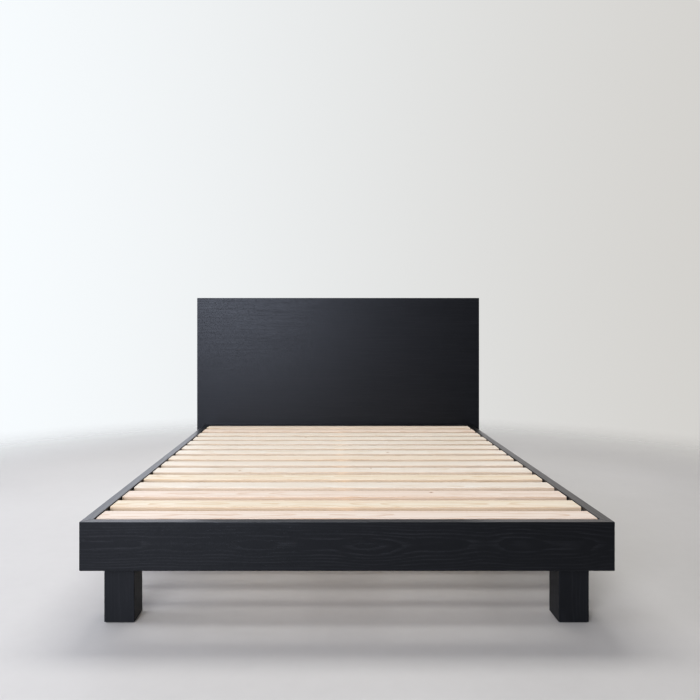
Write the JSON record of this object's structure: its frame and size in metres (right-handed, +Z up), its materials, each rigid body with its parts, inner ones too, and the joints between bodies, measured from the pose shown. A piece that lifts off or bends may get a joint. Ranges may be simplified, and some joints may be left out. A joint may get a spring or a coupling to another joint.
{
  "type": "platform bed frame",
  "caption": "Low platform bed frame: black-stained rails and slab headboard, square legs set in from the corners, pine slats on ledgers and a centre beam.",
  "frame": {"origin": "on the floor under the middle of the whole bed", "axes": "+X across the bed, to the right seen from the foot; +Y from the foot to the headboard; +Z up"},
  "size_m": [1.705, 2.169, 1.091],
  "materials": {
    "black_stained_ash": "open-grained ash, black stain, satin",
    "pine": "planed pine, unfinished",
    "zinc_plated_steel": "zinc plated",
    "brass_insert": "plain",
    "webbing": "woven webbing",
    "felt": "pressed felt",
    "black_plastic": "moulded, fine texture"
  },
  "bodies": {
    "bed_frame": {"batten_screws": "zinc_plated_steel", "beam_hanger_foot": "zinc_plated_steel", "beam_hanger_head": "zinc_plated_steel", "centre_beam": "pine", "centre_post_foot_end": "pine", "centre_post_head_end": "pine", "foot_ledger": "black_stained_ash", "foot_rail": "black_stained_ash", "hanger_screws": "zinc_plated_steel", "head_ledger": "black_stained_ash", "head_rail": "black_stained_ash", "headboard_batten_left": "black_stained_ash", "headboard_batten_right": "black_stained_ash", "headboard_bolts": "zinc_plated_steel", "headboard_inserts": "brass_insert", "headboard_panel": "black_stained_ash", "ledger_screws": "zinc_plated_steel", "leg_bolts": "zinc_plated_steel", "leg_felts": "felt", "leg_foot_left": "black_stained_ash", "leg_foot_right": "black_stained_ash", "leg_head_left": "black_stained_ash", "leg_head_right": "black_stained_ash", "leveller_inserts": "brass_insert", "leveller_lock_nuts": "zinc_plated_steel", "post_dowel_screws": "zinc_plated_steel", "rail_inserts": "brass_insert", "side_ledger_left": "black_stained_ash", "side_ledger_right": "black_stained_ash", "side_rail_left": "black_stained_ash", "side_rail_right": "black_stained_ash", "slat_01": "pine", "slat_02": "pine", "slat_03": "pine", "slat_04": "pine", "slat_05": "pine", "slat_06": "pine", "slat_07": "pine", "slat_08": "pine", "slat_09": "pine", "slat_10": "pine", "slat_11": "pine", "slat_12": "pine", "slat_13": "pine", "slat_14": "pine", "slat_15": "pine", "slat_strap_left": "webbing", "slat_strap_right": "webbing", "strap_staples": "zinc_plated_steel"},
    "base_foot_end": {"leveller_base_foot_end": "black_plastic"},
    "stem_foot_end": {"leveller_stem_foot_end": "zinc_plated_steel"},
    "base_head_end": {"leveller_base_head_end": "black_plastic"},
    "stem_head_end": {"leveller_stem_head_end": "zinc_plated_steel"}
  },
  "joints": [
    {"name": "leveller_foot_end_height", "type": "slide", "parent": "bed_frame", "child": "base_foot_end", "axis": [0, 0, 1], "range_m": [-0.012, 0.006]},
    {"name": "leveller_foot_end_turn", "type": "hinge", "parent": "base_foot_end", "child": "stem_foot_end", "pos_m": [0, -0.36983, 0], "axis": [0, 0, 1], "range_deg": [-3456, 1728]},
    {"name": "leveller_head_end_height", "type": "slide", "parent": "bed_frame", "child": "base_head_end", "axis": [0, 0, 1], "range_m": [-0.012, 0.006]},
    {"name": "leveller_head_end_turn", "type": "hinge", "parent": "base_head_end", "child": "stem_head_end", "pos_m": [0, 0.31283, 0], "axis": [0, 0, 1], "range_deg": [-3456, 1728]}
  ],
  "couplings": [
    {"joint": "leveller_foot_end_height", "follows": "leveller_foot_end_turn", "m_per_rad": 0.00019894},
    {"joint": "leveller_head_end_height", "follows": "leveller_head_end_turn", "m_per_rad": 0.00019894}
  ]
}
